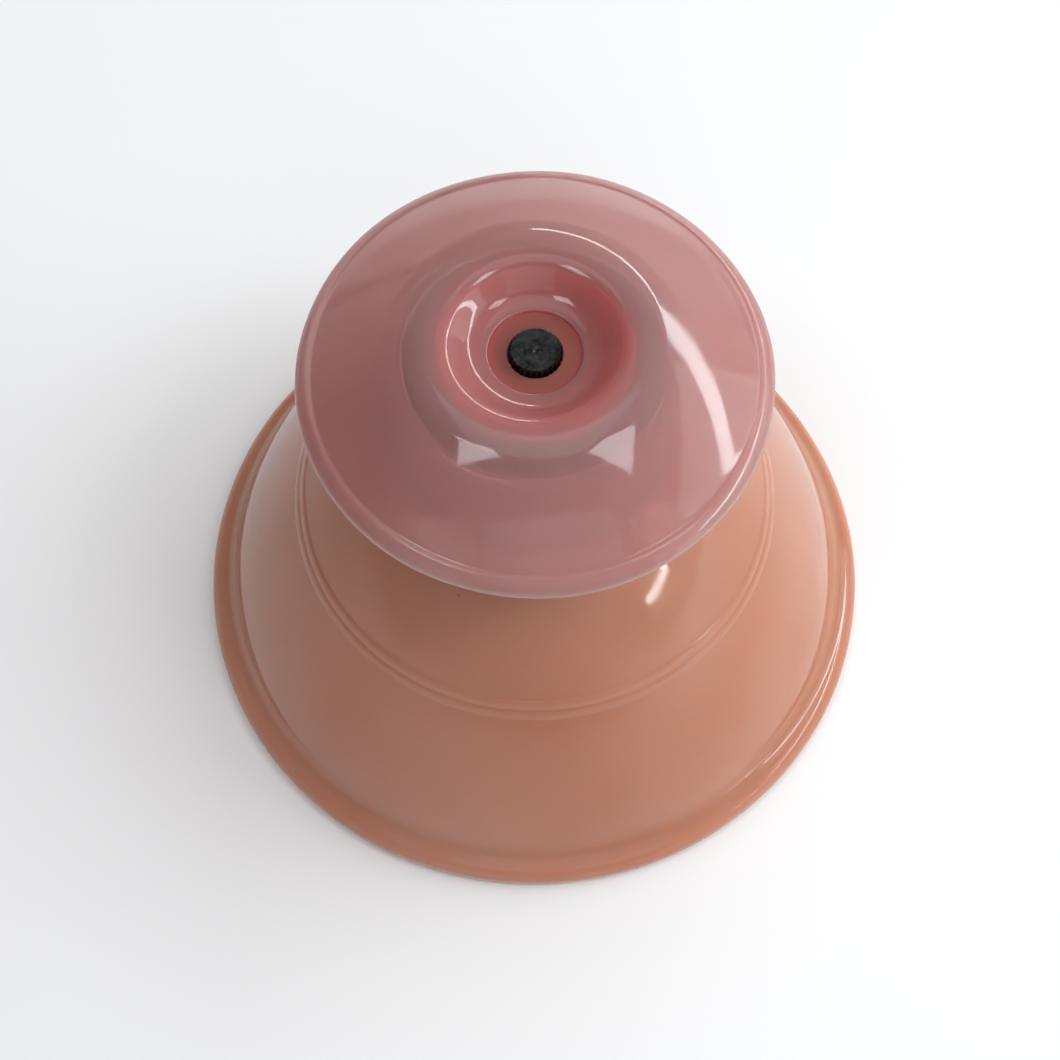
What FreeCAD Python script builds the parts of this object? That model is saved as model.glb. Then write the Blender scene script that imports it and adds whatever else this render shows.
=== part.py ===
"""Silicone cupping cup: a soft bell with a finger grip held to its crown by a clamped steel pin.

Millimetres. +Z is the cup's axis, pointing from the mouth to the knob. The origin is the
centre of the mouth, on the plane that the rim rests on. Every piece is round about +Z, so a
piece is described by its half section: radius from the axis and height above the mouth.
"""

import FreeCAD, Part
import math
import os

import Sketcher

DIMENSIONS = {
    # suction bell, outside
    "mouth_radius": 35.0,
    "rim_height": 3.3,
    "rim_round": 1.3,
    "skirt_foot_radius": 32.5,
    "skirt_curve": 52.0,
    "ridge_low_radius": 24.1,
    "ridge_low_height": 21.2,
    "ridge_groove_radius": 23.5,
    "ridge_groove_height": 22.2,
    "ridge_high_radius": 22.85,
    "ridge_high_height": 23.2,
    "ridge_curve": 0.72,
    "shoulder_curve": 110.0,
    "crown_radius": 12.0,
    "crown_height": 36.4,
    # suction bell, inside
    "mouth_bore_radius": 31.2,
    "skirt_bore_radius": 29.5,
    "skirt_bore_curve": 49.0,
    "waist_bore_radius": 20.2,
    "waist_bore_height": 21.6,
    "shoulder_bore_curve": 75.0,
    "roof_radius": 10.4,
    "roof_height": 33.5,
    "roof_round": 2.2,
    "crown_hole_radius": 5.2,
    # clearance between the bell and everything that moves with the grip
    "running_gap": 0.2,
    # finger grip
    "spigot_radius": 5.0,
    "neck_radius": 11.0,
    "neck_foot_height": 2.4,
    "neck_foot_curve": 3.6,
    "neck_top_height": 47.35,
    "neck_top_curve": 1.8,
    "flange_root_radius": 13.5,
    "flange_root_height": 49.0,
    "flange_curve": 44.0,
    "flange_radius": 21.5,
    "flange_height": 45.5,
    "flange_edge_thickness": 0.8,
    "flange_edge_round": 0.3,
    "bead_radius": 20.35,
    "bead_height": 47.35,
    "crease_radius": 20.0,
    "crease_height": 47.3,
    "knob_rim_radius": 10.5,
    "knob_rim_round": 2.0,
    "overall_height": 52.6,
    # dish in the knob's top, with a well at its foot that shows the disc
    "dish_radius": 8.9,
    "dish_edge_curve": 2.2,
    "dish_wall_top_radius": 7.4,
    "dish_wall_top_height": 51.9,
    "dish_wall_foot_radius": 6.1,
    "dish_wall_foot_height": 51.0,
    "dish_floor_curve": 3.2,
    "well_radius": 4.2,
    "well_edge_height": 50.35,
    # deep rose disc in the pocket under the dish
    "disc_radius": 8.9,
    "disc_top": 50.0,
    # knurled pin
    "pin_head_radius": 2.4,
    "pin_head_top": 50.7,
    "pin_chamfer": 0.25,
    "knurl_depth": 0.22,
    "knurl_notch_width": 0.9,
    "knurl_teeth": 28,
    "shank_radius": 1.5,
    "shank_bottom": 26.2,
    "shank_clearance": 0.05,
    # magnet and keeper, in a pocket under the disc
    "magnet_radius": 6.0,
    "magnet_bore_radius": 1.8,
    "magnet_bottom": 43.9,
    "magnet_thickness": 3.6,
    "keeper_thickness": 1.3,
    # clamping stack under the roof
    "seal_radius": 8.2,
    "seal_thickness": 1.0,
    "washer_radius": 8.6,
    "washer_thickness": 1.0,
    "nut_flat_radius": 2.75,
    "nut_thickness": 2.4,
    "tip_radius": 5.0,
    "tip_length": 7.0,
    "tip_cavity_radius": 3.4,
}


def value_of(text):
    """The value of a sum such as "crown_height + running_gap"; None is zero."""
    result = 0.0
    sign = 1.0
    for word in (text or "").split():
        if word in "+-":
            sign = 1.0 if word == "+" else -1.0
        else:
            result += sign * DIMENSIONS[word]
    return result


def cell_expression(text):
    """The same sum written for the cells of the dimension sheet."""
    return " ".join(word if word in "+-" else "dimensions." + word for word in text.split())


def make_sheet(doc):
    sheet = doc.addObject("Spreadsheet::Sheet", "dimensions")
    for row, (name, number) in enumerate(DIMENSIONS.items(), start=1):
        sheet.set(f"A{row}", name)
        sheet.set(f"B{row}", str(number))
        sheet.setAlias(f"B{row}", name)
    return sheet


def origin_plane(body, role):
    return next(item for item in body.Origin.OriginFeatures if item.Role == role)


def new_body(doc, label):
    body = doc.addObject("PartDesign::Body", label)
    body.Label = label
    return body


def attached_sketch(body, name, role):
    sketch = body.newObject("Sketcher::SketchObject", name)
    sketch.AttachmentSupport = (origin_plane(body, role), [""])
    sketch.MapMode = "FlatFace"
    return sketch


def arc_between(start, end, radius, turn):
    """The short arc from start to end; turn is 1 where it bends left and -1 where it bends right."""
    chord = end - start
    half = chord.Length / 2
    middle = (start + end) * 0.5
    left = FreeCAD.Vector(-chord.y, chord.x, 0).normalize()
    centre = middle + left * (turn * math.sqrt(radius * radius - half * half))
    circle = Part.Circle(centre, FreeCAD.Vector(0, 0, 1), radius)
    first, last = (start, end) if turn > 0 else (end, start)
    angles = [math.atan2(point.y - centre.y, point.x - centre.x) for point in (first, last)]
    return Part.ArcOfCircle(circle, angles[0], angles[1])


def bind(sketch, constraint, name, text):
    """Adds a constraint under a name and ties its value to the dimension sheet."""
    index = sketch.addConstraint(constraint)
    sketch.renameConstraint(index, name)
    sketch.setExpression(f"Constraints.{name}", cell_expression(text))


def pin_corner(sketch, edge, end, corner):
    """Fixes one corner of a half section: its radius from the axis and its height."""
    name, radius, height = corner
    if radius is None:
        sketch.addConstraint(Sketcher.Constraint("PointOnObject", edge, end, -2))
    else:
        rule = Sketcher.Constraint("DistanceX", -1, 1, edge, end, value_of(radius))
        bind(sketch, rule, name + "_radius", radius)
    if height is None:
        sketch.addConstraint(Sketcher.Constraint("PointOnObject", edge, end, -1))
    else:
        rule = Sketcher.Constraint("DistanceY", -1, 1, edge, end, value_of(height))
        bind(sketch, rule, name + "_height", height)


def half_section(body, corners, curves):
    """A closed, fully constrained half section in the XZ plane.

    corners lists (name, radius, height) in order round the section. curves maps a corner's
    name to (radius, turn) where the side that leaves it is an arc; other sides are straight.
    """
    sketch = attached_sketch(body, body.Label + "_section", "XZ_Plane")
    places = [FreeCAD.Vector(value_of(radius), value_of(height), 0) for _, radius, height in corners]
    ends = []
    for index, (name, _, _) in enumerate(corners):
        start = places[index]
        end = places[(index + 1) % len(corners)]
        if name in curves:
            radius, turn = curves[name]
            edge = sketch.addGeometry(arc_between(start, end, value_of(radius), turn), False)
            bind(sketch, Sketcher.Constraint("Radius", edge, value_of(radius)), name + "_curve", radius)
            ends.append((1, 2) if turn > 0 else (2, 1))
        else:
            edge = sketch.addGeometry(Part.LineSegment(start, end), False)
            ends.append((1, 2))
    for index, corner in enumerate(corners):
        previous = index - 1 if index else len(corners) - 1
        join = Sketcher.Constraint("Coincident", previous, ends[previous][1], index, ends[index][0])
        sketch.addConstraint(join)
        pin_corner(sketch, index, ends[index][0], corner)
    return sketch


def revolved_body(doc, label, corners, curves=None):
    body = new_body(doc, label)
    sketch = half_section(body, corners, curves or {})
    solid = body.newObject("PartDesign::Revolution", label + "_solid")
    solid.Profile = sketch
    solid.ReferenceAxis = (sketch, ["V_Axis"])
    solid.Angle = 360
    sketch.Visibility = False
    doc.recompute()
    return body


def round_rings(doc, body, name, size, rings):
    """Fillets the circular edges given as (radius, height) pairs."""
    base = body.Tip
    wanted = [(value_of(radius), value_of(height)) for radius, height in rings]
    picked = []
    for number, edge in enumerate(base.Shape.Edges, start=1):
        if not isinstance(edge.Curve, Part.Circle) or not edge.isClosed():
            continue
        for radius, height in wanted:
            same_radius = abs(edge.Curve.Radius - radius) < 1e-4
            if same_radius and abs(edge.Curve.Center.z - height) < 1e-4:
                picked.append(f"Edge{number}")
    if len(picked) != len(rings):
        raise ValueError(f"{name}: found {len(picked)} of {len(rings)} edges to round")
    fillet = body.newObject("PartDesign::Fillet", name)
    fillet.Base = (base, picked)
    fillet.setExpression("Radius", "dimensions." + size)
    doc.recompute()


def flat_ring(doc, label, outer, inner, base, thickness):
    """A flat ring, such as a washer, standing on the height called base."""
    walls = []
    for side, radius in (("outside", outer), ("inside", inner)):
        wall = doc.addObject("Part::Cylinder", f"{label}_{side}")
        wall.setExpression("Radius", cell_expression(radius))
        wall.setExpression("Height", cell_expression(thickness))
        walls.append(wall)
    ring = doc.addObject("Part::Cut", label)
    ring.Base, ring.Tool = walls
    ring.Label = label
    ring.setExpression("Placement.Base.z", cell_expression(base))
    return ring


def make_rings(doc):
    """The flat round pieces on the pin: the magnet and its keeper, the soft seal and the washer."""
    shank_bore = "shank_radius + shank_clearance"
    keeper_base = "magnet_bottom + magnet_thickness"
    seal_base = "roof_height - running_gap - seal_thickness"
    washer_base = seal_base + " - washer_thickness"
    sizes = [
        ("ring_magnet", "magnet_radius", "magnet_bore_radius", "magnet_bottom", "magnet_thickness"),
        ("magnet_keeper", "magnet_radius", shank_bore, keeper_base, "keeper_thickness"),
        ("roof_seal", "seal_radius", shank_bore, seal_base, "seal_thickness"),
        ("clamp_washer", "washer_radius", shank_bore, washer_base, "washer_thickness"),
    ]
    return [flat_ring(doc, *row) for row in sizes]


def make_suction_bell(doc):
    """The soft cup: rolled rim, bulging skirt, double bead at mid height, shoulder and flat crown."""
    corners = [
        ("rim_outer_foot", "mouth_radius", None),
        ("rim_outer_top", "mouth_radius", "rim_height"),
        ("skirt_foot", "skirt_foot_radius", "rim_height"),
        ("ridge_low", "ridge_low_radius", "ridge_low_height"),
        ("ridge_groove", "ridge_groove_radius", "ridge_groove_height"),
        ("ridge_high", "ridge_high_radius", "ridge_high_height"),
        ("crown_edge", "crown_radius", "crown_height"),
        ("hole_top", "crown_hole_radius", "crown_height"),
        ("hole_bottom", "crown_hole_radius", "roof_height"),
        ("roof_edge", "roof_radius", "roof_height"),
        ("waist_inside", "waist_bore_radius", "waist_bore_height"),
        ("skirt_inside", "skirt_bore_radius", "rim_height"),
        ("mouth_inside", "mouth_bore_radius", None),
    ]
    curves = {
        "skirt_foot": ("skirt_curve", 1),
        "ridge_low": ("ridge_curve", 1),
        "ridge_groove": ("ridge_curve", 1),
        "ridge_high": ("shoulder_curve", 1),
        "roof_edge": ("shoulder_bore_curve", -1),
        "waist_inside": ("skirt_bore_curve", -1),
    }
    bell = revolved_body(doc, "suction_bell", corners, curves)
    rim_edges = [("mouth_radius", None), ("mouth_radius", "rim_height")]
    round_rings(doc, bell, "rim_rounds", "rim_round", rim_edges)
    round_rings(doc, bell, "roof_round_edge", "roof_round", [("roof_radius", "roof_height")])
    return bell


def make_finger_grip(doc):
    """Spigot, neck, and the cap above it: a domed flange, thin at its edge, with a dish in its top.

    A fine bead runs round the flange, with a crease where it meets the dome.

    The dish is a bowl open at its foot: its wall closes over the disc's pocket as far as the well.
    """
    edge_top = "flange_height + flange_edge_thickness"
    neck_bottom = "crown_height + running_gap"
    spigot_bottom = "roof_height - running_gap"
    shank_bore = "shank_radius + shank_clearance"
    magnet_top = "magnet_bottom + magnet_thickness + keeper_thickness"
    corners = [
        ("spigot_foot", "spigot_radius", spigot_bottom),
        ("spigot_root", "spigot_radius", neck_bottom),
        ("neck_foot", "crown_radius", neck_bottom),
        ("neck_waist", "neck_radius", neck_bottom + " + neck_foot_height"),
        ("neck_top", "neck_radius", "neck_top_height"),
        ("flange_root", "flange_root_radius", "flange_root_height"),
        ("edge_bottom", "flange_radius", "flange_height"),
        ("edge_top", "flange_radius", edge_top),
        ("bead", "bead_radius", "bead_height"),
        ("crease", "crease_radius", "crease_height"),
        ("knob_rim", "knob_rim_radius", "overall_height"),
        ("dish_rim", "dish_radius", "overall_height"),
        ("dish_wall_top", "dish_wall_top_radius", "dish_wall_top_height"),
        ("dish_wall_foot", "dish_wall_foot_radius", "dish_wall_foot_height"),
        ("well_edge", "well_radius", "well_edge_height"),
        ("well_foot", "well_radius", "disc_top"),
        ("pocket_roof", "disc_radius", "disc_top"),
        ("pocket_floor", "disc_radius", magnet_top),
        ("magnet_pocket_top", "magnet_radius", magnet_top),
        ("magnet_pocket_floor", "magnet_radius", "magnet_bottom"),
        ("shank_bore_top", shank_bore, "magnet_bottom"),
        ("shank_bore_bottom", shank_bore, spigot_bottom),
    ]
    curves = {
        "neck_foot": ("neck_foot_curve", -1),
        "neck_top": ("neck_top_curve", -1),
        "flange_root": ("flange_curve", -1),
        "crease": ("flange_curve", 1),
        "dish_rim": ("dish_edge_curve", 1),
        "dish_wall_foot": ("dish_floor_curve", -1),
    }
    grip = revolved_body(doc, "finger_grip", corners, curves)
    flange_edges = [("flange_radius", "flange_height"), ("flange_radius", edge_top)]
    round_rings(doc, grip, "flange_edge", "flange_edge_round", flange_edges)
    round_rings(doc, grip, "knob_rim_edge", "knob_rim_round", [("knob_rim_radius", "overall_height")])
    return grip


def make_rose_disc(doc):
    """The deep rose disc under the dish: it covers the magnet, and the pin's head comes up through it."""
    seat = "magnet_bottom + magnet_thickness + keeper_thickness"
    head_bore = "pin_head_radius + shank_clearance"
    corners = [
        ("seat_edge", "disc_radius", seat),
        ("top_edge", "disc_radius", "disc_top"),
        ("head_bore_top", head_bore, "disc_top"),
        ("head_bore_bottom", head_bore, seat),
    ]
    return revolved_body(doc, "rose_disc", corners)


def make_center_pin(doc):
    """Turned steel pin: a knurled head that shows in the dish and a shank that clamps the stack."""
    head_bottom = "magnet_bottom + magnet_thickness + keeper_thickness"
    corners = [
        ("shank_end", None, "shank_bottom"),
        ("shank_foot", "shank_radius", "shank_bottom"),
        ("shank_top", "shank_radius", head_bottom),
        ("head_foot", "pin_head_radius", head_bottom),
        ("head_edge", "pin_head_radius", "pin_head_top - pin_chamfer"),
        ("face_edge", "pin_head_radius - pin_chamfer", "pin_head_top"),
        ("face_centre", None, "pin_head_top"),
    ]
    pin = revolved_body(doc, "center_pin", corners)
    plain_volume = pin.Shape.Volume

    notch = attached_sketch(pin, "knurl_notch", "XY_Plane")
    notch.setExpression("AttachmentOffset.Base.z", "dimensions.pin_head_top")
    root = "pin_head_radius - knurl_depth"
    mouth = "pin_head_radius + knurl_depth"
    width = "knurl_notch_width"
    tip = FreeCAD.Vector(value_of(root), 0, 0)
    low = FreeCAD.Vector(value_of(mouth), -value_of(width) / 2, 0)
    high = FreeCAD.Vector(value_of(mouth), value_of(width) / 2, 0)
    for start, end in ((tip, low), (low, high), (high, tip)):
        notch.addGeometry(Part.LineSegment(start, end), False)
    for first, second in ((0, 1), (1, 2), (2, 0)):
        notch.addConstraint(Sketcher.Constraint("Coincident", first, 2, second, 1))
    notch.addConstraint(Sketcher.Constraint("PointOnObject", 0, 1, -1))
    notch.addConstraint(Sketcher.Constraint("Symmetric", 1, 1, 1, 2, -1))
    bind(notch, Sketcher.Constraint("DistanceX", -1, 1, 0, 1, value_of(root)), "notch_root", root)
    bind(notch, Sketcher.Constraint("DistanceX", -1, 1, 0, 2, value_of(mouth)), "notch_mouth", mouth)
    bind(notch, Sketcher.Constraint("DistanceY", 1, 1, 1, 2, value_of(width)), "notch_width", width)

    cut = pin.newObject("PartDesign::Pocket", "knurl_cut")
    cut.Profile = notch
    head_length = f"dimensions.pin_head_top - ({cell_expression(head_bottom)})"
    cut.setExpression("Length", head_length)
    doc.recompute()
    if cut.Shape.Volume >= plain_volume:
        raise ValueError("the knurl notch removed nothing")
    knurl = pin.newObject("PartDesign::PolarPattern", "knurl")
    knurl.Originals = [cut]
    knurl.Axis = (origin_plane(pin, "Z_Axis"), [""])
    knurl.Angle = 360
    knurl.setExpression("Occurrences", "dimensions.knurl_teeth")
    pin.Tip = knurl
    doc.recompute()
    return pin


def make_lock_nut(doc):
    """Plain hexagon nut that draws the pin down."""
    top = "roof_height - running_gap - seal_thickness - washer_thickness"
    hexagon = doc.addObject("Part::Prism", "lock_nut_hexagon")
    hexagon.Polygon = 6
    hexagon.setExpression("Circumradius", "dimensions.nut_flat_radius / cos(30 deg)")
    hexagon.setExpression("Height", "dimensions.nut_thickness")
    bore = doc.addObject("Part::Cylinder", "lock_nut_bore")
    bore.setExpression("Radius", "dimensions.shank_radius + dimensions.shank_clearance")
    bore.setExpression("Height", "dimensions.nut_thickness")
    nut = doc.addObject("Part::Cut", "lock_nut")
    nut.Base = hexagon
    nut.Tool = bore
    nut.Label = "lock_nut"
    nut.setExpression("Placement.Base.z", cell_expression(top + " - nut_thickness"))
    return nut


def make_contact_tip(doc):
    """Domed cap over the nut, screwed on the end of the pin: the part that meets the skin."""
    top = "roof_height - running_gap - seal_thickness - washer_thickness"
    cavity_floor = top + " - nut_thickness"
    thread_bore = "shank_radius + shank_clearance"
    corners = [
        ("dome_pole", None, top + " - tip_length"),
        ("dome_edge", "tip_radius", top + " - tip_length + tip_radius"),
        ("rim_outside", "tip_radius", top),
        ("rim_inside", "tip_cavity_radius", top),
        ("cavity_edge", "tip_cavity_radius", cavity_floor),
        ("thread_top", thread_bore, cavity_floor),
        ("thread_bottom", thread_bore, "shank_bottom"),
        ("thread_end", None, "shank_bottom"),
    ]
    return revolved_body(doc, "contact_tip", corners, {"dome_pole": ("tip_radius", 1)})


def check(doc, pieces):
    """Stops if anything failed to compute or a piece isn't one valid solid."""
    for item in doc.Objects:
        if "Invalid" in item.State or "Error" in item.State:
            raise RuntimeError(f"{item.Label} did not compute: {item.State}")
    for piece in pieces:
        shape = piece.Shape
        if shape.isNull() or not shape.isValid() or len(shape.Solids) != 1:
            raise RuntimeError(f"{piece.Label} is not one valid solid")


def main():
    doc = FreeCAD.newDocument("cupping_cup")
    make_sheet(doc)
    doc.recompute()
    pieces = [
        make_suction_bell(doc),
        make_finger_grip(doc),
        make_rose_disc(doc),
        make_center_pin(doc),
        make_lock_nut(doc),
        make_contact_tip(doc),
    ]
    pieces += make_rings(doc)
    doc.recompute()
    check(doc, pieces)
    os.makedirs("parts", exist_ok=True)
    for piece in pieces:
        piece.Shape.exportStep(f"parts/{piece.Label}.step")
        print(f"{piece.Label}: {piece.Shape.Volume:.1f} mm3")


main()
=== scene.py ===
"""Silicone cupping cup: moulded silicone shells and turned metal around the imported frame.

Metres, with +Z up the cup's axis from the mouth to the knob. The bell, the finger grip and
the rose disc are lathed from their half sections, with the slight waviness of a soft
moulding. The metal pin has its tool marks and knurl as geometry.
"""

import math
from collections import namedtuple

import bpy
from mathutils import Matrix, Vector, noise


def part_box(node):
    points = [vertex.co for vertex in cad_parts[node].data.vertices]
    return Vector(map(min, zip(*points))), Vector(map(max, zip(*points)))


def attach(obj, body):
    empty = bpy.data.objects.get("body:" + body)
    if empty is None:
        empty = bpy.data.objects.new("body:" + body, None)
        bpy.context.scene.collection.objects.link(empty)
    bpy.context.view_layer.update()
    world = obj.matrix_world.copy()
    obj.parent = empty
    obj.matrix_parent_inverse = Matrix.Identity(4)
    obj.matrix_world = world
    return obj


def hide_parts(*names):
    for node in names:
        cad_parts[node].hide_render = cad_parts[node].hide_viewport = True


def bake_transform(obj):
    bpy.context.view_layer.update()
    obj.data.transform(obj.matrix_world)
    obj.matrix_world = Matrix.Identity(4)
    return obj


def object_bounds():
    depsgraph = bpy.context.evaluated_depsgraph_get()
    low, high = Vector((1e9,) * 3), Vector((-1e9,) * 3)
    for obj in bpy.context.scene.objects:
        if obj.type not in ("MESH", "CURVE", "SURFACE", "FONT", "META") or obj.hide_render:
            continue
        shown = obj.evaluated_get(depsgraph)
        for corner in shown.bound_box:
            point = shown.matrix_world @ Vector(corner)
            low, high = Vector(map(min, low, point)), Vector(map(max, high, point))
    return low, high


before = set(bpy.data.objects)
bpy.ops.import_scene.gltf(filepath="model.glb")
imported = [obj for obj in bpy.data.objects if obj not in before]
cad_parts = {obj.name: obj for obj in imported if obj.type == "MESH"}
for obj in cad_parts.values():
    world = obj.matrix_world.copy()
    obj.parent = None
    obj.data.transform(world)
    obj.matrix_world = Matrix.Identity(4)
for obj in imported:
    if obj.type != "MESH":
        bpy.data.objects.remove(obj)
cad_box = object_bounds()

MM = 0.001
FULL_TURN = 2 * math.pi
KNOB_HEIGHT = 0.05

# A corner of a half section. curve is the radius of the arc that leads on to the next corner,
# positive where it bends left and negative where it bends right, and soft is how far the
# rounding of this corner reaches along its two sides.
Corner = namedtuple("Corner", "radius height curve soft", defaults=(0.0, 0.0))


# ---------------------------------------------------------------- half sections


def side_points(start, end, spacing):
    """Points from start to end, on a straight line or on start's arc."""
    first = Vector((start.radius, start.height))
    last = Vector((end.radius, end.height))
    chord = last - first
    count = max(2, math.ceil(chord.length / spacing))
    if not start.curve:
        return [first.lerp(last, step / count) for step in range(count + 1)]
    bend = math.copysign(1.0, start.curve)
    size = abs(start.curve)
    left = Vector((-chord.y, chord.x)).normalized() * bend
    centre = (first + last) / 2 + left * math.sqrt(size**2 - chord.length_squared / 4)
    spoke = first - centre
    turn = 2 * math.asin(chord.length / (2 * size)) * bend
    count = max(count, math.ceil(abs(turn) / math.radians(5)))
    points = []
    for step in range(count + 1):
        angle = turn * step / count
        points.append(centre + Vector((
            spoke.x * math.cos(angle) - spoke.y * math.sin(angle),
            spoke.x * math.sin(angle) + spoke.y * math.cos(angle),
        )))
    return points


def trimmed(points, length):
    """The points of a line without its first stretch of that length."""
    points = list(points)
    while length > 0 and len(points) > 1:
        step = (points[1] - points[0]).length
        if step > length:
            points[0] = points[0].lerp(points[1], length / step)
            break
        length -= step
        points.pop(0)
    return points


def rounding(before, corner, after, count=8):
    """A smooth bend from before to after, drawn towards the corner."""
    reach = 0.56
    near = before.lerp(corner, reach)
    far = after.lerp(corner, reach)
    points = []
    for step in range(1, count):
        t = step / count
        s = 1 - t
        points.append(before * s**3 + near * 3 * s * s * t + far * 3 * s * t * t + after * t**3)
    return points


def outline(corners, spacing=0.9 * MM):
    """The points of a closed half section, counter-clockwise, with its arcs and rounded corners."""
    ends = corners[1:] + corners[:1]
    sides = []
    for start, end in zip(corners, ends):
        points = trimmed(side_points(start, end, spacing), start.soft)
        points = trimmed(reversed(points), end.soft)
        sides.append(list(reversed(points)))
    result = []
    for side, corner, following in zip(sides, ends, sides[1:] + sides[:1]):
        if corner.soft:
            middle = Vector((corner.radius, corner.height))
            result += side + rounding(side[-1], middle, following[0])
        else:
            result += side[:-1]
    return result


def bell_section():
    """The suction bell: rolled rim, bulging skirt, double bead, shoulder, and a flat roof inside."""
    _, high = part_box("suction_bell")
    mouth = high.x
    crown = high.z
    roof = crown - 2.9 * MM
    hole = 5.2 * MM
    rim_round = 1.3 * MM
    bead_curve = 1.7 * MM
    bead_edge = 0.12 * MM
    rim = [
        Corner(mouth, 0, soft=rim_round),
        Corner(mouth, 2.8 * MM, soft=rim_round),
    ]
    outside = [
        Corner(32.5 * MM, 3.8 * MM, curve=52 * MM, soft=rim_round),
        Corner(24.1 * MM, 21.2 * MM, curve=bead_curve, soft=bead_edge),
        Corner(23.5 * MM, 22.2 * MM, curve=bead_curve, soft=bead_edge),
        Corner(22.85 * MM, 23.2 * MM, curve=110 * MM, soft=bead_edge),
        Corner(12 * MM, crown),
    ]
    spigot_hole = [Corner(hole, crown), Corner(hole, roof)]
    inside = [
        Corner(10.4 * MM, roof, curve=-75 * MM, soft=2.2 * MM),
        Corner(20.2 * MM, 21.6 * MM, curve=-49 * MM),
        Corner(29.5 * MM, 3.3 * MM, soft=0.6 * MM),
        Corner(31.2 * MM, 0, soft=0.6 * MM),
    ]
    return rim + outside + spigot_hole + inside


def grip_section():
    """The finger grip: spigot, neck, domed flange that thins to its edge, and the dish in its top.

    It is one clear body round the disc, the magnet and the pin, with no air between them, so
    its inner wall runs inside those pieces.
    """
    low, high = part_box("finger_grip")
    _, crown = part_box("suction_bell")
    _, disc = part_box("rose_disc")
    spigot = 5 * MM
    neck = 11 * MM
    neck_foot = crown.z + 0.08 * MM
    flange = high.x
    flange_under = 45.5 * MM
    flange_top = flange_under + 0.8 * MM
    dome = 44 * MM
    well = 4.2 * MM
    inside_disc = disc.z - 0.6 * MM
    inside_pin = 1.3 * MM
    stem = [
        Corner(spigot, low.z),
        Corner(spigot, neck_foot),
        Corner(12 * MM, neck_foot, curve=-3.6 * MM),
        Corner(neck, neck_foot + 2.4 * MM),
        Corner(neck, 47.35 * MM, curve=-1.8 * MM),
    ]
    cap = [
        Corner(13.5 * MM, 49 * MM, curve=-dome, soft=0.3 * MM),
        Corner(flange, flange_under, soft=0.3 * MM),
        Corner(flange, flange_top, curve=2.4 * MM, soft=0.25 * MM),
        Corner(20.35 * MM, 47.35 * MM, soft=0.17 * MM),
        Corner(20 * MM, 47.3 * MM, curve=dome, soft=0.17 * MM),
    ]
    dish = [
        Corner(10.45 * MM, high.z, soft=1.1 * MM),
        Corner(8.9 * MM, high.z, curve=2.2 * MM, soft=0.2 * MM),
        Corner(7.3 * MM, 52 * MM, soft=0.3 * MM),
        Corner(6.2 * MM, 50.98 * MM, curve=-3.2 * MM, soft=0.3 * MM),
        Corner(well, 50.35 * MM, soft=0.15 * MM),
    ]
    inner_wall = [
        Corner(well, inside_disc),
        Corner(inside_pin, inside_disc),
        Corner(inside_pin, low.z),
    ]
    return stem + cap + dish + inner_wall


def disc_section():
    """The rose disc, flat on both sides with softened edges."""
    low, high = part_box("rose_disc")
    bore = 2.45 * MM
    return [
        Corner(high.x, low.z, soft=0.15 * MM),
        Corner(high.x, high.z, soft=0.15 * MM),
        Corner(bore, high.z, soft=0.1 * MM),
        Corner(bore, low.z),
    ]


# ---------------------------------------------------------------- meshes


def lathe(name, points, segments, shape=None, closed=True):
    """A smooth mesh from a half section turned about the axis.

    shape(index, point, angle) may move each point. An open section starts and ends on the axis.
    """
    rings = []
    vertices = []
    for index, point in enumerate(points):
        on_axis = point.x < 1e-7
        ring = []
        for step in range(1 if on_axis else segments):
            angle = FULL_TURN * step / segments
            spot = shape(index, point, angle) if shape else point
            ring.append(len(vertices))
            vertices.append((spot.x * math.cos(angle), spot.x * math.sin(angle), spot.y))
        rings.append(ring * segments if on_axis else ring)
    pairs = list(zip(rings, rings[1:]))
    if closed:
        pairs.append((rings[-1], rings[0]))
    faces = []
    for lower, upper in pairs:
        for step in range(segments):
            following = (step + 1) % segments
            corners = [lower[step], lower[following], upper[following], upper[step]]
            faces.append(list(dict.fromkeys(corners)))
    mesh = bpy.data.meshes.new(name)
    mesh.from_pydata(vertices, [], faces)
    mesh.validate()
    mesh.shade_smooth()
    mesh.set_sharp_from_angle(angle=math.radians(38))
    piece = bpy.data.objects.new(name, mesh)
    bpy.context.scene.collection.objects.link(piece)
    return piece


def soft_wave(points, amount, seed, steady_below=-1.0):
    """A shape that swells a moulding along its normals by up to about amount, in broad waves."""
    count = len(points)
    normals = []
    for index in range(count):
        along = points[(index + 1) % count] - points[index - 1]
        normals.append(Vector((along.y, -along.x)).normalized())
    wave_length = 11 * MM

    def shape(index, point, angle):
        place = Vector((
            point.x * math.cos(angle) / wave_length + seed,
            point.x * math.sin(angle) / wave_length,
            point.y / wave_length,
        ))
        rise = min(1.0, max(0.0, (point.y - steady_below) / (3 * MM)))
        return point + normals[index] * noise.noise(place) * amount * rise

    return shape


def make_bell():
    points = outline(bell_section())
    bell = lathe("bell_shell", points, 240, soft_wave(points, 0.09 * MM, seed=3, steady_below=0.0))
    bell.data.materials.append(bell_silicone())
    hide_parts("suction_bell")
    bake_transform(bell)
    return bell


def make_grip():
    points = outline(grip_section(), spacing=0.6 * MM)
    grip = lathe("grip_moulding", points, 240, soft_wave(points, 0.1 * MM, seed=8))
    grip.data.materials.append(grip_silicone())
    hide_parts("finger_grip")
    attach(grip, "grip")
    return grip


def make_disc():
    points = outline(disc_section(), spacing=0.6 * MM)
    disc = lathe("rose_disc_moulding", points, 160)
    disc.data.materials.append(disc_silicone())
    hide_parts("rose_disc")
    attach(disc, "grip")
    return disc


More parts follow.
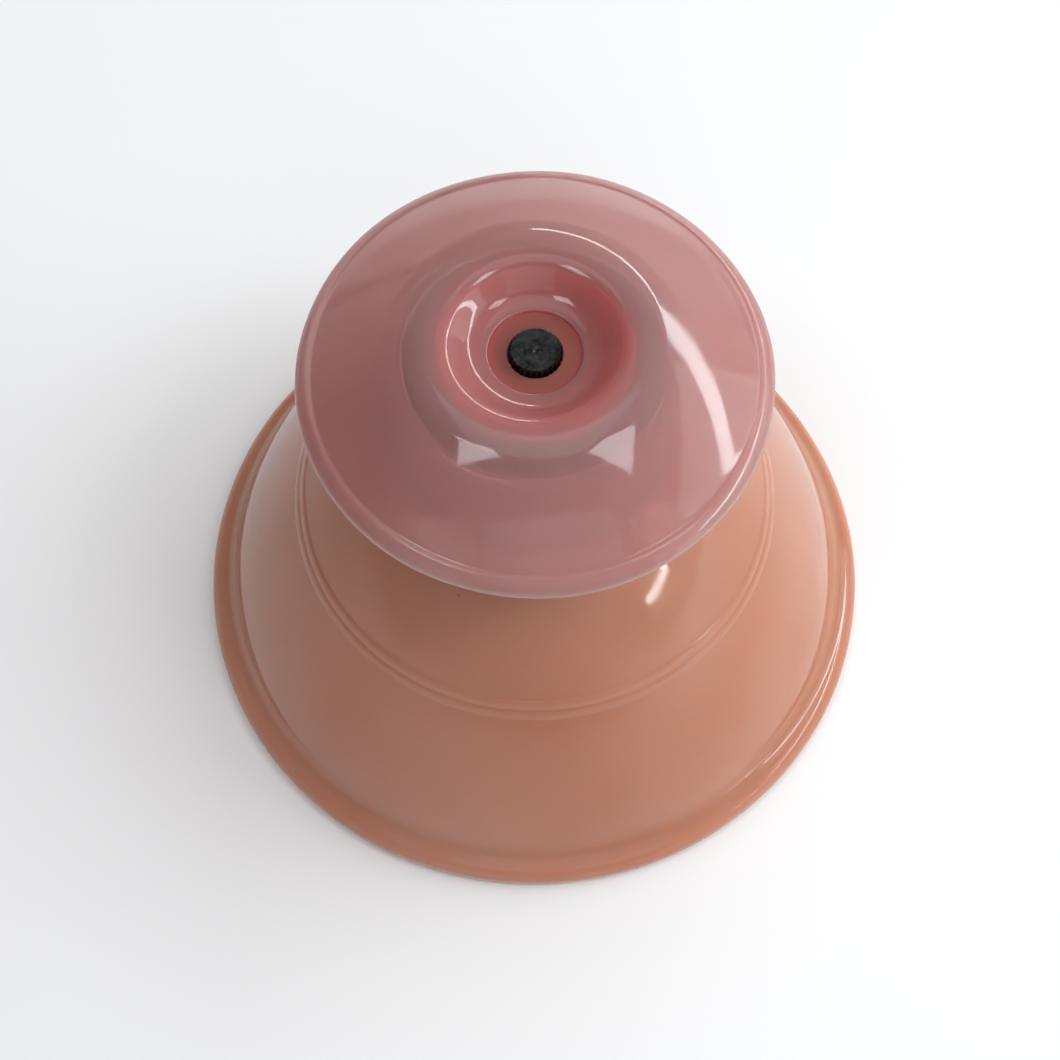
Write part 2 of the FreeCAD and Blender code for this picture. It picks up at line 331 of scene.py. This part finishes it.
def make_pin():
    """The pin: faced end with rings from the tool, chamfer, knurled head, and plain shank."""
    low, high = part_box("center_pin")
    _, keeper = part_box("magnet_keeper")
    head = high.x
    chamfer = 0.25 * MM
    shank = 1.5 * MM
    ring_count = 9
    groove = 0.012 * MM
    teeth = 28
    tooth_depth = 0.22 * MM
    face_radius = head - chamfer
    points = [
        Vector((0, low.z)),
        Vector((shank - chamfer, low.z)),
        Vector((shank, low.z + chamfer)),
        Vector((shank, keeper.z)),
        Vector((head, keeper.z)),
        Vector((head, high.z - chamfer)),
        Vector((face_radius, high.z)),
    ]
    knurled = (4, 5)
    steps = ring_count * 4
    for step in range(1, steps + 1):
        radius = face_radius * (1 - step / steps)
        dip = groove * (0.5 - 0.5 * math.cos(FULL_TURN * step / 4))
        centre_mark = 0.12 * MM * max(0.0, 1 - radius / (0.35 * MM))
        points.append(Vector((radius, high.z - dip - centre_mark)))

    def shape(index, point, angle):
        if index not in knurled:
            return point
        tooth = abs(((angle * teeth / FULL_TURN) % 1) * 2 - 1)
        return Vector((point.x - tooth_depth * min(1.0, 1.4 * tooth), point.y))

    pin = lathe("pin_turned", points, teeth * 10, shape, closed=False)
    pin.data.materials.append(turned_steel())
    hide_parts("center_pin")
    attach(pin, "grip")
    return pin


# ---------------------------------------------------------------- materials


class Finish:
    """A material with one Principled shader, and the nodes that drive it."""

    def __init__(self, name):
        self.material = bpy.data.materials.new(name)
        self.material.use_nodes = True
        self.tree = self.material.node_tree
        self.shader = self.tree.nodes["Principled BSDF"]
        self.place = self.tree.nodes.new("ShaderNodeTexCoord").outputs["Object"]

    def set(self, **values):
        """Plain values for the shader's sockets: base_color sets "Base Color"."""
        for name, value in values.items():
            words = [word.upper() if word == "ior" else word.capitalize() for word in name.split("_")]
            self.shader.inputs[" ".join(words)].default_value = value

    def add(self, kind, inputs=None, **settings):
        made = self.tree.nodes.new(kind)
        for name, value in settings.items():
            setattr(made, name, value)
        for name, value in (inputs or {}).items():
            if isinstance(value, bpy.types.NodeSocket):
                self.tree.links.new(value, made.inputs[name])
            else:
                made.inputs[name].default_value = value
        return made

    def link(self, output, name):
        self.tree.links.new(output, self.shader.inputs[name])

    def reach(self):
        """The distance from the cup's axis."""
        flat = self.add("ShaderNodeVectorMath", {0: self.place, 1: (1, 1, 0)}, operation="MULTIPLY")
        length = self.add("ShaderNodeVectorMath", {0: flat.outputs["Vector"]}, operation="LENGTH")
        return length.outputs["Value"]

    def noise(self, size, detail=3.0, roughness=0.5):
        """Noise with features of about that size, in metres."""
        inputs = {"Vector": self.place, "Scale": 1 / size, "Detail": detail, "Roughness": roughness}
        return self.add("ShaderNodeTexNoise", inputs).outputs["Fac"]

    def range(self, value, low, high, to_low=0.0, to_high=1.0):
        inputs = {"Value": value, "From Min": low, "From Max": high, "To Min": to_low, "To Max": to_high}
        return self.add("ShaderNodeMapRange", inputs).outputs["Result"]

    def mix(self, factor, first, second):
        made = self.add("ShaderNodeMix", data_type="RGBA")
        sockets = {"factor": made.inputs[0], "first": made.inputs[6], "second": made.inputs[7]}
        for name, value in (("factor", factor), ("first", first), ("second", second)):
            if isinstance(value, bpy.types.NodeSocket):
                self.tree.links.new(value, sockets[name])
            else:
                sockets[name].default_value = value
        return made.outputs[2]

    def bump(self, height, strength, distance):
        inputs = {"Height": height, "Strength": strength, "Distance": distance}
        self.link(self.add("ShaderNodeBump", inputs).outputs["Normal"], "Normal")

    def specks(self, cell, size):
        """1 in a few tiny round spots, one to a cell of that size, and 0 elsewhere."""
        inputs = {"Vector": self.place, "Scale": 1 / cell, "Randomness": 1.0}
        distance = self.add("ShaderNodeTexVoronoi", inputs).outputs["Distance"]
        return self.range(distance, size / cell, 0.6 * size / cell)


def colour(red, green, blue):
    return (red, green, blue, 1.0)


def silicone(name, clear_tone, deep_tone, cloud_size, middle=None):
    """What the silicones share: cloudy colour, dust specks, a glossy skin with faint handling marks.

    middle is a tone round the axis and the two radii between which it fades out.
    """
    finish = Finish(name)
    clouds = finish.range(finish.noise(cloud_size, detail=2), 0.35, 0.65)
    tone = finish.mix(clouds, clear_tone, deep_tone)
    if middle:
        middle_tone, fade_start, fade_end = middle
        tone = finish.mix(finish.range(finish.reach(), fade_start, fade_end), middle_tone, tone)
    dust = finish.specks(cell=9 * MM, size=0.14 * MM)
    finish.link(finish.mix(dust, tone, colour(0.05, 0.02, 0.015)), "Base Color")
    smears = finish.noise(6 * MM, detail=4, roughness=0.65)
    finish.link(finish.range(smears, 0.3, 0.8, 0.03, 0.11), "Roughness")
    skin = finish.noise(2.2 * MM, detail=2)
    finish.bump(skin, strength=0.12, distance=0.05 * MM)
    finish.set(ior=1.41)
    return finish


def bell_silicone():
    """Peach silicone, cloudy enough to glow but not to see through."""
    clear_tone = colour(0.49, 0.225, 0.15)
    deep_tone = colour(0.45, 0.18, 0.105)
    finish = silicone("peach_silicone", clear_tone, deep_tone, cloud_size=24 * MM)
    finish.set(subsurface_weight=1.0, subsurface_scale=0.0025, subsurface_radius=(1.0, 0.45, 0.3))
    return finish.material


def grip_silicone():
    """Pinker silicone, half clear, and rosier where it is thin over the disc."""
    clear_tone = colour(0.59, 0.335, 0.32)
    deep_tone = colour(0.55, 0.29, 0.275)
    over_disc = (colour(0.64, 0.26, 0.245), 8 * MM, 9.8 * MM)
    finish = silicone("pink_silicone", clear_tone, deep_tone, cloud_size=16 * MM, middle=over_disc)
    finish.set(transmission_weight=0.56)
    finish.set(subsurface_weight=1.0, subsurface_scale=0.005, subsurface_radius=(1.0, 0.7, 0.65))
    absorption = finish.add("ShaderNodeVolumeAbsorption", {"Color": colour(0.8, 0.55, 0.55), "Density": 12.0})
    output = finish.tree.nodes["Material Output"]
    finish.tree.links.new(absorption.outputs["Volume"], output.inputs["Volume"])
    return finish.material


def disc_silicone():
    """Deep rose silicone, nearly opaque, and darkest where it is bare round the pin."""
    clear_tone = colour(0.6, 0.07, 0.07)
    deep_tone = colour(0.54, 0.06, 0.06)
    bare = (colour(0.27, 0.078, 0.065), 3.6 * MM, 5 * MM)
    finish = silicone("rose_silicone", clear_tone, deep_tone, cloud_size=8 * MM, middle=bare)
    finish.set(subsurface_weight=0.6, subsurface_scale=0.0015, subsurface_radius=(1.0, 0.3, 0.25))
    return finish.material


def seal_rubber():
    """The soft red-brown washer under the roof."""
    finish = Finish("seal_rubber_matt")
    grain = finish.noise(0.5 * MM, detail=4)
    finish.link(finish.mix(grain, colour(0.36, 0.12, 0.1), colour(0.28, 0.08, 0.07)), "Base Color")
    finish.link(finish.range(grain, 0.3, 0.7, 0.5, 0.7), "Roughness")
    finish.bump(grain, strength=0.3, distance=0.05 * MM)
    return finish.material


def metal(name, bright, dull, smooth, rough, grain_size):
    """A metal whose tarnish and polish vary with a fine grain."""
    finish = Finish(name)
    patches = finish.range(finish.noise(0.7 * MM, detail=5, roughness=0.7), 0.35, 0.65)
    finish.link(finish.mix(patches, bright, dull), "Base Color")
    grain = finish.noise(grain_size, detail=4, roughness=0.7)
    finish.link(finish.range(grain, 0.3, 0.7, smooth, rough), "Roughness")
    finish.bump(grain, strength=0.25, distance=0.02 * MM)
    finish.set(metallic=1.0)
    return finish.material


def turned_steel():
    """Nearly black steel, for the pin."""
    bright = colour(0.06, 0.063, 0.06)
    dull = colour(0.012, 0.014, 0.013)
    return metal("steel_turned", bright, dull, smooth=0.25, rough=0.45, grain_size=0.12 * MM)


def plain_steel():
    """Bare steel, for the keeper, the washer and the nut."""
    bright = colour(0.5, 0.5, 0.49)
    dull = colour(0.36, 0.36, 0.36)
    return metal("steel_plain", bright, dull, smooth=0.22, rough=0.4, grain_size=0.2 * MM)


def nickel():
    """Warm polished plating, for the magnet and the contact tip."""
    bright = colour(0.74, 0.71, 0.66)
    dull = colour(0.66, 0.63, 0.58)
    return metal("nickel_polished", bright, dull, smooth=0.08, rough=0.2, grain_size=0.3 * MM)


def floor_finish():
    finish = Finish("pale_floor")
    grain = finish.noise(40 * MM, detail=3)
    finish.link(finish.mix(grain, colour(0.86, 0.83, 0.82), colour(0.84, 0.81, 0.8)), "Base Color")
    finish.set(roughness=0.7)
    return finish.material


def dress_frame():
    """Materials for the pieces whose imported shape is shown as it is."""
    finishes = {
        plain_steel(): ("magnet_keeper", "clamp_washer", "lock_nut"),
        nickel(): ("ring_magnet", "contact_tip"),
        seal_rubber(): ("roof_seal",),
    }
    for material, nodes in finishes.items():
        for node in nodes:
            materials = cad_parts[node].data.materials
            materials.clear()
            materials.append(material)


# ---------------------------------------------------------------- stage, light and camera


def make_floor():
    half = 1.5
    mesh = bpy.data.meshes.new("floor")
    corners = [(-half, -half, 0), (half, -half, 0), (half, half, 0), (-half, half, 0)]
    mesh.from_pydata(corners, [], [(0, 1, 2, 3)])
    floor = bpy.data.objects.new("floor", mesh)
    bpy.context.scene.collection.objects.link(floor)
    mesh.materials.append(floor_finish())


def area_light(name, place, target, width, height, radiance, tint=(1, 1, 1), along=None):
    """A rectangular light at place, facing target.

    radiance is how bright its face looks, and along is the direction its width runs in.
    """
    data = bpy.data.lights.new(name, "AREA")
    data.shape = "RECTANGLE"
    data.size = width
    data.size_y = height
    data.energy = radiance * width * height * math.pi
    data.color = tint
    light = bpy.data.objects.new(name, data)
    light.location = place
    facing = (Vector(target) - Vector(place)).normalized()
    if along is None:
        light.rotation_euler = facing.to_track_quat("-Z", "Y").to_euler()
    else:
        side = Vector(along).normalized()
        back = -facing
        side = (side - back * side.dot(back)).normalized()
        up = back.cross(side)
        light.rotation_euler = Matrix((side, up, back)).transposed().to_euler()
    light.visible_camera = False
    bpy.context.scene.collection.objects.link(light)
    return light


def around(azimuth, elevation, distance):
    """A point at that distance from the knob. Azimuth 0 is +X and 90 is +Y, in degrees."""
    turn = math.radians(azimuth)
    rise = math.radians(elevation)
    flat = distance * math.cos(rise)
    return Vector((flat * math.cos(turn), flat * math.sin(turn), KNOB_HEIGHT + distance * math.sin(rise)))


def make_lights():
    """The key is a long strip light on the right. Softboxes and cards fill, and a low lamp adds a glint."""
    knob = (0, 0, KNOB_HEIGHT)
    cool = (0.92, 0.95, 1)
    strip_side = 35
    across = math.radians(strip_side + 90)
    area_light(
        "strip_light", around(strip_side, 29, 0.65), knob, 1.9, 0.065, 13.5,
        tint=(0.88, 0.98, 1), along=(math.cos(across), math.sin(across), 0),
    )
    for name, azimuth, elevation, radiance in (("left", -143, 66, 8.0), ("right", -19, 58, 8.5)):
        place = around(azimuth, elevation, 0.6)
        area_light(f"softbox_{name}", place, knob, 0.135, 0.16, radiance, tint=cool, along=(0, 1, 0))
    area_light("front_card", around(-78, 38, 0.7), knob, 0.6, 0.4, 0.8, tint=cool)
    area_light("right_card", around(5, 22, 0.6), knob, 0.5, 0.35, 1.8, tint=(0.82, 0.97, 1))
    area_light("top_card", around(90, 86, 0.9), knob, 0.6, 0.6, 1.3)
    shoulder = (0, 0, 0.03)
    area_light("low_lamp", around(-29, 1, 0.5), shoulder, 0.13, 0.008, 25.0)


def make_world():
    """Soft light from all round, which grows from dim on the left to bright on the right."""
    world = bpy.data.worlds.new("studio")
    world.use_nodes = True
    nodes = world.node_tree.nodes
    links = world.node_tree.links
    background = nodes["Background"]
    background.inputs["Color"].default_value = colour(0.95, 0.97, 1.0)
    direction = nodes.new("ShaderNodeTexCoord").outputs["Generated"]
    parts = nodes.new("ShaderNodeSeparateXYZ")
    links.new(direction, parts.inputs["Vector"])
    strength = nodes.new("ShaderNodeMapRange")
    links.new(parts.outputs["X"], strength.inputs["Value"])
    for name, value in (("From Min", -1.0), ("From Max", 1.0), ("To Min", 0.08), ("To Max", 0.6)):
        strength.inputs[name].default_value = value
    links.new(strength.outputs["Result"], background.inputs["Strength"])
    bpy.context.scene.world = world


def make_camera():
    """The viewing angle: close above the cup and a little in front of it."""
    data = bpy.data.cameras.new("camera")
    camera = bpy.data.objects.new("camera", data)
    mouth_radius = cad_box[1].x
    camera.location = Vector((0.15, -2.5, 5.975)) * mouth_radius
    aim = Vector((0, -0.2, 0.787)) * mouth_radius
    camera.rotation_euler = (aim - camera.location).to_track_quat("-Z", "Y").to_euler()
    data.sensor_width = 36
    data.lens = 70
    data.clip_start = 0.01
    data.clip_end = 10
    bpy.context.scene.collection.objects.link(camera)
    bpy.context.scene.camera = camera


make_camera()
make_floor()
make_lights()
make_world()
make_bell()
make_grip()
make_disc()
make_pin()
dress_frame()
bpy.context.scene.view_settings.view_transform = "Standard"
